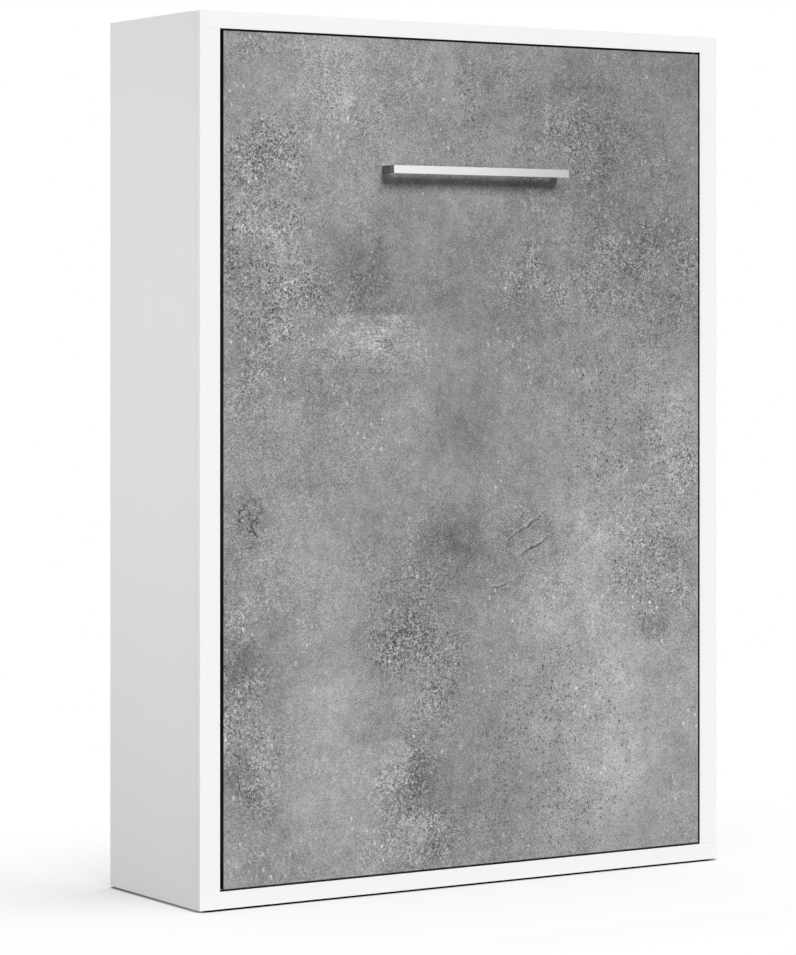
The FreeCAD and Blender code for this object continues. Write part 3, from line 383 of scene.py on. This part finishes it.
def concrete():
    """Grey concrete-look laminate: clouds, crags, crusts, pits and flecks, a few strokes and a mark."""
    p = Paint("concrete_laminate")
    drift = p.warp(3.2, 0.20, detail=4.0)
    ragged = p.warp(15.0, 0.110, 6.0, drift)
    shiver = p.warp(38.0, 0.022, detail=3.0)
    crumble = p.warp(160.0, 0.006)

    craggy = p.spots(p.step(p.noise(2.6, 4.0, 0.6, ragged, 4.0), 0.42, 0.72, 0.0, 0.5), CRAGS, ragged)
    patchy = p.step(p.noise(9.0, 6.0, 0.68, shiver, 2.0), 0.38, 0.62)
    rough_area = p.both(p.step(craggy, 0.0, 0.75), p.math("MULTIPLY_ADD", patchy, 0.75, 0.25))

    tone = p.total(
        p.spots(MEAN_TONE, CLOUDS, ragged),
        (p.swing(1.7, 5.0, 0.55, drift, 1.0), 0.10),
        (p.swing(6.0, 8.0, 0.66, shiver, 3.0), 0.19),
        (p.swing(28.0, 6.0, 0.70, shiver, 5.0), 0.19),
    )
    crust = p.spots(p.math("MULTIPLY", p.swing(22.0, 7.0, 0.72, drift, 17.0), 0.90), CRUSTS, drift)
    crust = p.step(crust, 0.24, 0.50)
    streaky = p.swing(1.0, 4.0, 0.6, p.stretch((16.0, 16.0, 190.0), shiver), 6.0)
    below_edge = p.step(p.axes(shiver)[2], PATCH_OUTSIDE, PATCH_INSIDE)
    patch = p.math("MULTIPLY", p.spot(*PATCH, vector=drift), 1.8, clamp=True)
    in_patch = p.both(patch, below_edge)
    over_patch = p.both(patch, p.math("SUBTRACT", 1.0, below_edge))
    hanging = p.swing(1.0, 3.0, 0.55, p.stretch((75.0, 75.0, 11.0), shiver), 7.0)
    tone = p.total(tone, (crust, 0.10), (in_patch, 0.06), (over_patch, -0.08),
                   (p.both(streaky, in_patch), 0.28), (hanging, 0.05))

    grain = p.swing(1.0, 1.0, 0.6, p.stretch((420.0, 420.0, 250.0)), 8.0)
    crumbs = p.swing(170.0, 3.0, 0.7, offset=9.0)
    small, large = p.grains(400.0), p.grains(175.0, crumble)
    calm = p.step(p.noise(3.6, 3.0, 0.6, drift, 11.0), 0.36, 0.58, 0.66, 1.06)
    sand = p.total(0.0, (grain, 0.25), (crumbs, 0.08), (small, 0.12))
    strong = p.total(0.0, (crumbs, 0.43), (small, 0.18), (large, 0.16))
    tone = p.total(tone, (p.both(sand, calm), 1.0), (p.both(strong, rough_area), 1.0))

    pits = p.total(0.0, (p.dots(50.0, 0.18, 0.60, crumble), 1.0), (p.dots(110.0, 0.30, 0.40, crumble), 0.7))
    pit_field = p.spots(p.math("MULTIPLY", rough_area, 0.12), PITTED, ragged)
    pitted = p.both(pits, p.step(pit_field, 0.0, 0.32), p.math("MULTIPLY_ADD", patchy, 0.6, 0.4))
    flecks = p.dots(1.0, 0.19, 0.32, p.stretch((54.0, 54.0, 34.0), crumble, (0.0, 0.25, 0.0)))
    fleck_noise = p.step(p.noise(5.0, 3.0, offset=13.0), 0.46, 0.68, 0.10, 0.7)
    fleck_field = p.math("MULTIPLY_ADD", rough_area, 0.5, fleck_noise)
    tone = p.total(tone, (pitted, -0.30), (p.both(flecks, fleck_field), 0.36))

    broken = p.step(p.noise(120.0, 3.0, 0.7, offset=14.0), 0.34, 0.56)
    for x, z, half_length, half_width, tilt in STROKES:
        groove = p.spot(x, z, half_length, half_width, tilt, shiver)
        groove = p.math("MULTIPLY", groove, 2.4, clamp=True)
        rim = p.spot(x + RIM_X, z + RIM_Z, half_length, half_width, tilt, shiver)
        rim = p.math("MULTIPLY", rim, 2.0, clamp=True)
        tone = p.total(tone, (p.both(groove, broken), -0.34), (p.both(rim, broken), 0.15))

    mark = p.math("MULTIPLY", p.spot(*MARK, vector=shiver), 3.0, clamp=True)
    rings = p.math("ABSOLUTE", p.swing(46.0, 2.0, 0.6, shiver, 15.0))
    scrawl = p.both(mark, p.step(rings, 0.02, 0.09, 1.0, 0.0))
    tone = p.total(tone, (scrawl, -0.42), (mark, -0.03))

    colour = p.ramp(tone, PRINT_GREYS)
    warm = p.spots(p.step(p.noise(2.6, 3.0, 0.6, drift, 16.0), 0.52, 0.74, 0.0, 0.4), STAINS, ragged)
    colour = p.mix(p.math("ADD", warm, scrawl, clamp=True), colour, OLIVE, "MULTIPLY")
    height = p.total(crumbs, (grain, 0.5), (pitted, -2.0))
    rough = p.total(0.50, (rough_area, 0.10), (grain, 0.04))
    p.set(Base_Color=colour, Roughness=rough, Specular_IOR_Level=0.3)
    return p.bump(height, 0.10, 0.0004).material


# Metal, plastic and wood


def coated_steel(name, level, rough, peel):
    """Paint or powder on steel, with its orange peel and a little dust."""
    p = Paint(name)
    skin = p.noise(peel, 2.0, 0.55)
    dust = p.step(p.noise(9.0, 5.0, 0.6), 0.45, 0.8)
    tone = p.total(0.2, (dust, 0.5), (skin, 0.2))
    colour = p.ramp(tone, [(0.0, grey(level - 5)), (1.0, grey(level + 12))])
    p.set(Base_Color=colour, Roughness=p.total(rough, (dust, 0.14), (skin, 0.08)), Specular_IOR_Level=0.45)
    return p.bump(skin, 0.14, 0.0004).material


ZINC_BLUE, ZINC_GREY, ZINC_YELLOW = (0.50, 0.53, 0.58, 1), (0.66, 0.67, 0.68, 1), (0.72, 0.69, 0.60, 1)


def zinc(name):
    """Bright zinc plating with its blotchy passivation."""
    p = Paint(name)
    blotch = p.noise(28.0, 5.0, 0.62)
    scuff = p.noise(1.0, 3.0, 0.6, p.stretch((60.0, 60.0, 900.0)))
    colour = p.ramp(blotch, [(0.25, ZINC_BLUE), (0.55, ZINC_GREY), (0.8, ZINC_YELLOW)])
    p.set(Base_Color=colour, Metallic=1.0, Roughness=p.total(0.24, (blotch, 0.14), (scuff, 0.10)))
    return p.bump(scuff, 0.06, 0.0003).material


def moulded(name, level, rough, grain_size):
    """Moulded plastic or rubber with a fine eroded grain."""
    p = Paint(name)
    grain = p.noise(grain_size, 1.0)
    sheen = p.noise(35.0, 4.0, 0.6)
    tone = p.total(0.0, (grain, 0.5), (sheen, 0.5))
    colour = p.ramp(tone, [(0.2, grey(level - 4)), (0.8, grey(level + 6))])
    p.set(Base_Color=colour, Roughness=p.total(rough, (sheen, 0.12), (grain, 0.06)), Specular_IOR_Level=0.4)
    return p.bump(grain, 0.12, 0.0003).material


NICKEL_LOW, NICKEL_HIGH = (0.84, 0.84, 0.84, 1), (0.95, 0.95, 0.94, 1)
# How far from the bar's end its painted shade starts and is full, and how far behind the bar its greys start
END_SHADE_START, END_SHADE_FULL, END_SHADE_BEHIND = 0.0007, 0.0003, 0.002
# The painted shade of the end faces, from the back by the panel to the front
END_SHADE_GREYS = [(0.0, grey(135)), (0.6, grey(160)), (1.0, grey(165))]


def handle_finish_with_end_shade():
    """Satin nickel, brushed along the bar; its two end faces get painted shade, a darker grey that is darkest
    at the back by the panel.
    """
    p = Paint("satin_nickel")
    x, y = p.axes()[:2]
    brush = p.noise(1.0, 4.0, 0.65, p.stretch((5.0, 900.0, 900.0)))
    cloud = p.noise(14.0, 3.0)
    colour = p.ramp(brush, [(0.2, NICKEL_LOW), (0.8, NICKEL_HIGH)])
    # Painted shade on the two end faces, darker towards the panel behind the bar
    end = p.step(p.math("ABSOLUTE", x), bar_high.x - END_SHADE_START, bar_high.x - END_SHADE_FULL)
    end_shade_colour = p.ramp(p.step(y, bar_high.y + END_SHADE_BEHIND, bar_low.y), END_SHADE_GREYS)
    colour = p.mix(end, colour, end_shade_colour)
    p.set(Base_Color=colour, Metallic=1.0, Roughness=p.total(0.05, (brush, 0.07), (cloud, 0.04)))
    return p.bump(brush, 0.10, 0.0002).material


CHROME_LOW, CHROME_HIGH = (0.70, 0.70, 0.72, 1), (0.84, 0.84, 0.85, 1)


def chrome():
    """Ground and plated rod, with its fine turning lines."""
    p = Paint("plated_rod")
    lines = p.noise(1.0, 2.0, 0.6, p.stretch((60.0, 60.0, 2600.0)))
    colour = p.ramp(lines, [(0.2, CHROME_LOW), (0.8, CHROME_HIGH)])
    p.set(Base_Color=colour, Metallic=1.0, Roughness=p.total(0.06, (lines, 0.10)))
    return p.bump(lines, 0.04, 0.0002).material


BEECH_DARK, BEECH_MIDDLE, BEECH_LIGHT = (0.46, 0.29, 0.155, 1), (0.60, 0.405, 0.235, 1), (0.70, 0.51, 0.32, 1)
RAY_BROWN, PLY_BROWN = (0.30, 0.165, 0.08, 1.0), (0.27, 0.15, 0.075, 1.0)
# The bow of a slat, and the thickness of one ply, for the plies that follow the bow
SLAT_MIDDLE = (slats_low.x + slats_high.x) / 2
SLAT_REACH = (slats_high.x - slats_low.x) / 2
SLAT_BOW, PLY = 0.008, 0.0013


def beech():
    """Lacquered beech plywood: grain and rays along the slat, plies on its long edges."""
    p = Paint("beech_plywood")
    x, y = p.axes()[:2]
    sway = p.warp(5.0, 0.015)
    slow = p.noise(1.0, 4.0, 0.6, p.stretch((2.2, 30.0, 30.0), sway))
    fine = p.noise(1.0, 4.0, 0.7, p.stretch((9.0, 300.0, 300.0), sway), 2.0)
    rays = p.step(p.noise(1.0, 2.0, 0.6, p.stretch((70.0, 700.0, 700.0)), 3.0), 0.62, 0.72)
    tone = p.total(0.0, (slow, 0.6), (fine, 0.4))
    colour = p.ramp(tone, [(0.30, BEECH_DARK), (0.52, BEECH_MIDDLE), (0.72, BEECH_LIGHT)])
    colour = p.mix(p.math("MULTIPLY", rays, 0.45), colour, RAY_BROWN)
    along = p.math("DIVIDE", p.math("SUBTRACT", p.math("ABSOLUTE", x), SLAT_MIDDLE), SLAT_REACH)
    arch = p.math("SUBTRACT", 1.0, p.math("MULTIPLY", along, along))
    depth = p.math("MULTIPLY_ADD", arch, SLAT_BOW, p.math("MULTIPLY", y, -1.0))
    layer = p.math("PINGPONG", depth, PLY)
    facing = p.add("ShaderNodeNewGeometry").outputs["Normal"]
    turn = p.add("ShaderNodeVectorTransform", vector_type="NORMAL", convert_from="WORLD", convert_to="OBJECT")
    p.feed(turn.inputs[0], facing)
    edge = p.step(p.math("ABSOLUTE", p.axes(turn.outputs[0])[2]), 0.6, 0.8)
    dark_ply = p.both(edge, p.step(layer, 0.45 * PLY, 0.55 * PLY))
    colour = p.mix(p.math("MULTIPLY", dark_ply, 0.55), colour, PLY_BROWN)
    p.set(Base_Color=colour, Roughness=p.total(0.34, (fine, 0.16)), Specular_IOR_Level=0.4)
    p.set(Coat_Weight=0.2, Coat_Roughness=0.25)
    return p.bump(fine, 0.10, 0.0003).material


FINISHES = {
    "white_board": white_board("white_melamine"),
    "concrete_board": concrete(),
    "black_edging": moulded("black_edge_strip", 20, 0.42, 900.0),
    "handle_metal": handle_finish_with_end_shade(),
    "black_steel": coated_steel("black_powder_coat", 34, 0.42, 620.0),
    "zinc_steel": zinc("bright_zinc"),
    "beech": beech(),
    "black_plastic": moulded("black_moulded_plastic", 30, 0.45, 1300.0),
    "white_plastic": moulded("white_moulded_plastic", 226, 0.40, 1300.0),
    "black_rubber": moulded("black_rubber", 28, 0.70, 800.0),
    "strut_paint": coated_steel("black_strut_paint", 26, 0.22, 260.0),
    "strut_chrome": chrome(),
}
# The front frame's white, with its edges to the opening painted black as painted shade for the gap
frame_white_gap_shade = white_board("white_melamine_frame", opening=True)

# Finish and edges of the CAD nodes

# Edge rounding in metres by slot; boards and strips have a hairline, tubes and mouldings more
ROUNDING = {
    "white_board": 0.0007, "concrete_board": 0.0, "black_edging": 0.0003, "handle_metal": 0.0005,
    "black_steel": 0.0008, "zinc_steel": 0.0003, "beech": 0.0008, "black_plastic": 0.0007,
    "white_plastic": 0.0003, "black_rubber": 0.0008, "strut_paint": 0.0008, "strut_chrome": 0.0003,
}
# Points nearer than this are one; faces that turn less than this are flat; edges that turn more are rounded
SAME_POINT, FLAT_TURN, SHARP_TURN = 1e-6, math.radians(0.6), math.radians(40)
ROUNDING_STEPS = 2


def soften(obj, width):
    """Joins the imported faces and rounds their edges, without touching the mesh itself."""
    weld = obj.modifiers.new("weld", "WELD")
    weld.merge_threshold = SAME_POINT
    flat = obj.modifiers.new("flat", "DECIMATE")
    flat.decimate_type = "DISSOLVE"
    flat.angle_limit = FLAT_TURN
    edge = obj.modifiers.new("edge", "BEVEL")
    edge.width = width
    edge.segments = ROUNDING_STEPS
    edge.limit_method = "ANGLE"
    edge.angle_limit = SHARP_TURN
    edge.harden_normals = True
    edge.use_clamp_overlap = True


for name, obj in nodes.items():
    slot = obj.material_slots[0].material.name.split(".")[0]
    obj.material_slots[0].material = frame_white_gap_shade if name.startswith("frame_") else FINISHES[slot]
    if ROUNDING[slot]:
        soften(obj, ROUNDING[slot])

# Trim


def extruded(name, profile, low, high, finish):
    """A closed profile of (y, z) points drawn out along x."""
    count = len(profile)
    points = [(x, y, z) for x in (low, high) for y, z in profile]
    faces = [(i, (i + 1) % count, count + (i + 1) % count, count + i) for i in range(count)]
    faces += [tuple(reversed(range(count))), tuple(range(count, 2 * count))]
    mesh = bpy.data.meshes.new(name)
    mesh.from_pydata(points, [], faces)
    mesh.materials.append(FINISHES[finish])
    obj = bpy.data.objects.new(name, mesh)
    scene.collection.objects.link(obj)
    return obj


# Black lip on the back of the top frame rail; a dark strip put behind the gap above the panel, where it
# stands in for the gap's shade.
# Its profile in y and z starts at the rail's lower back edge.
SHADE_LIP_SHAPE = [
    (0.0, 0.012), (0.0, 0.0), (-0.0008, -0.003), (-0.0006, -0.0062), (0.0008, -0.0078),
    (0.0024, -0.0070), (0.0030, -0.0050), (0.0026, -0.0010), (0.0018, 0.002), (0.0018, 0.012),
]
shade_lip_profile = [(rail_high.y + y, rail_low.z + z) for y, z in SHADE_LIP_SHAPE]
shade_lip = extruded("gap_shade_lip", shade_lip_profile, edging_low.x, edging_high.x, "black_rubber")
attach(shade_lip, "cabinet")

# Floor

FLOOR_HALF = 30.0
floor_corners = [(x * FLOOR_HALF, y * FLOOR_HALF, 0.0) for x, y in ((-1, -1), (1, -1), (1, 1), (-1, 1))]
floor_mesh = bpy.data.meshes.new("floor")
floor_mesh.from_pydata(floor_corners, [], [(0, 1, 2, 3)])
floor = bpy.data.objects.new("floor", floor_mesh)
scene.collection.objects.link(floor)

FLOOR_ALBEDO = 0.20
# The soft shadow on the floor: how far it reaches, how deep it is behind, and its shares elsewhere
SHADOW_REACH, SHADOW_DEPTH = 0.95, 0.85
SHADOW_IN_FRONT, SHADOW_ON_RIGHT, SHADOW_UNDER_BED = 0.17, 0.30, 0.60
# Where these shares begin and end along y and x, in front, on the right and under the open bed
FRONT_START, FRONT_END = cad_low.y - 0.0615, cad_high.y + 0.2415
RIGHT_START, RIGHT_END = cad_high.x - 0.38, cad_high.x + 0.12
BED_START, BED_END = cad_low.y - 0.7915, cad_low.y - 0.4415
# The dark line where the object all but touches the floor, which is paler along the cabinet's two sides, and
# the fainter one round the open bed's feet
CONTACT_REACH, SIDE_LINE, FOOT_SHADE = 0.03, 0.22, 0.45
SIDE_START, SIDE_END = cad_high.x - 0.020, cad_high.x - 0.010
CONTACT_DARK, CONTACT_CLEAR = 0.40, 0.76
FOOT_DARK, FOOT_CLEAR = 0.2, 1.0
FEET_START, FEET_END = cad_low.y - 0.5415, cad_low.y - 0.2915
OPENNESS_SAMPLES = 16

# The floor is white to the camera, and grey where the object keeps the sky from it
floor_paint = bpy.data.materials.new("pale_floor")
floor_paint.use_nodes = True
k = Knots(floor_paint.node_tree)
k.tree.nodes.remove(k.tree.nodes["Principled BSDF"])


def openness(distance):
    """How much of the sky a point of the floor sees past what is nearer than distance."""
    node = k.add("ShaderNodeAmbientOcclusion", samples=OPENNESS_SAMPLES)
    node.inputs["Distance"].default_value = distance
    return node.outputs["AO"]


floor_x, floor_y = k.axes()[:2]
share = k.step(floor_y, FRONT_START, FRONT_END, SHADOW_IN_FRONT, 1.0)
share = k.both(share, k.step(floor_x, RIGHT_START, RIGHT_END, 1.0, SHADOW_ON_RIGHT))
share = k.math("MAXIMUM", share, k.step(floor_y, BED_START, BED_END, SHADOW_UNDER_BED, 0.0))
hidden = k.math("SUBTRACT", 1.0, openness(SHADOW_REACH))
loss = k.both(share, SHADOW_DEPTH, hidden)
contact = openness(CONTACT_REACH)
under = k.step(contact, CONTACT_DARK, CONTACT_CLEAR)
at_sides = k.step(k.math("ABSOLUTE", floor_x), SIDE_START, SIDE_END, 0.0, SIDE_LINE)
under = k.math("MAXIMUM", under, at_sides)
feet = k.step(contact, FOOT_DARK, FOOT_CLEAR, FOOT_SHADE, 1.0)
feet = k.math("MAXIMUM", feet, k.step(floor_y, FEET_START, FEET_END))
shade = k.both(k.math("SUBTRACT", 1.0, loss), under, feet)
matt = k.add("ShaderNodeBsdfDiffuse")
matt.inputs["Color"].default_value = (FLOOR_ALBEDO, FLOOR_ALBEDO, FLOOR_ALBEDO, 1)
glow = k.add("ShaderNodeEmission")
k.feed(glow.inputs["Strength"], shade)
pick = k.add("ShaderNodeMixShader")
for socket, given in zip(pick.inputs, (k.seen(), matt.outputs[0], glow.outputs[0])):
    k.feed(socket, given)
k.feed(k.tree.nodes["Material Output"].inputs["Surface"], pick.outputs[0])
floor_mesh.materials.append(floor_paint)

# World

# The studio is white to the camera; gloss sees its right-hand wall greyer, from one direction in x to another
SKY, GREY_WALL = 0.16, 0.20
WALL_START, WALL_FULL = 0.545, 0.607
world = bpy.data.worlds.new("studio")
scene.world = world
world.use_nodes = True
k = Knots(world.node_tree, "Generated")
back = k.tree.nodes["Background"]
back.inputs["Color"].default_value = (1, 1, 1, 1)
wall = k.step(k.axes()[0], WALL_START, WALL_FULL, 1.0, GREY_WALL)
wall = k.math("MAXIMUM", wall, k.add("ShaderNodeLightPath").outputs["Is Camera Ray"])
k.feed(back.inputs["Strength"], k.math("MAXIMUM", k.both(wall, k.seen()), SKY))

# Lamps


def sun(name, azimuth, elevation, strength, spread):
    """A broad soft light; azimuth 0 is in front of the bed and 90 to its right."""
    data = bpy.data.lights.new(name, "SUN")
    data.energy = strength
    data.angle = math.radians(spread)
    lamp = bpy.data.objects.new(name, data)
    scene.collection.objects.link(lamp)
    a, e = math.radians(azimuth), math.radians(elevation)
    towards = Vector((-math.sin(a) * math.cos(e), math.cos(a) * math.cos(e), -math.sin(e)))
    lamp.rotation_euler = towards.to_track_quat("-Z", "Y").to_euler()


def panel_light(name, place, towards, side, power):
    """A square soft light, which neither the camera nor gloss sees."""
    data = bpy.data.lights.new(name, "AREA")
    data.size = side
    data.energy = power
    lamp = bpy.data.objects.new(name, data)
    scene.collection.objects.link(lamp)
    lamp.location = place
    lamp.rotation_euler = (Vector(towards) - Vector(place)).to_track_quat("-Z", "Y").to_euler()
    lamp.visible_camera = False
    lamp.visible_glossy = False


sun("key", azimuth=5, elevation=33, strength=3.21, spread=24)
sun("back_fill", azimuth=180, elevation=18, strength=2.10, spread=40)
# One panel light on each side, turned to the cabinet's side
FILL_X, FILL_Y, FILL_Z, FILL_SIDE, FILL_AIM_Y = 3.8, -0.10, 1.28, 1.4, 0.03
for name, hand, power in (("left_fill", -1, 50.0), ("right_fill", 1, 40.0)):
    aim = (hand * cad_high.x, FILL_AIM_Y, FILL_Z)
    panel_light(name, (hand * FILL_X, FILL_Y, FILL_Z), aim, FILL_SIDE, power)

# Camera

LENS, SENSOR_WIDTH, SHIFT, FAR_CLIP = 132.603, 36.0, -0.1649, 200.0
CAMERA_PLACE, CAMERA_HEADING = (-4.9093, -7.5847, 1.4244), math.radians(-32.442)
camera_data = bpy.data.cameras.new("camera")
camera_data.lens = LENS
camera_data.sensor_width = SENSOR_WIDTH
camera_data.shift_y = SHIFT
camera_data.clip_end = FAR_CLIP
camera = bpy.data.objects.new("camera", camera_data)
camera.location = CAMERA_PLACE
camera.rotation_euler = (math.radians(90), 0.0, CAMERA_HEADING)
scene.collection.objects.link(camera)
scene.camera = camera
scene.view_settings.view_transform = "Standard"
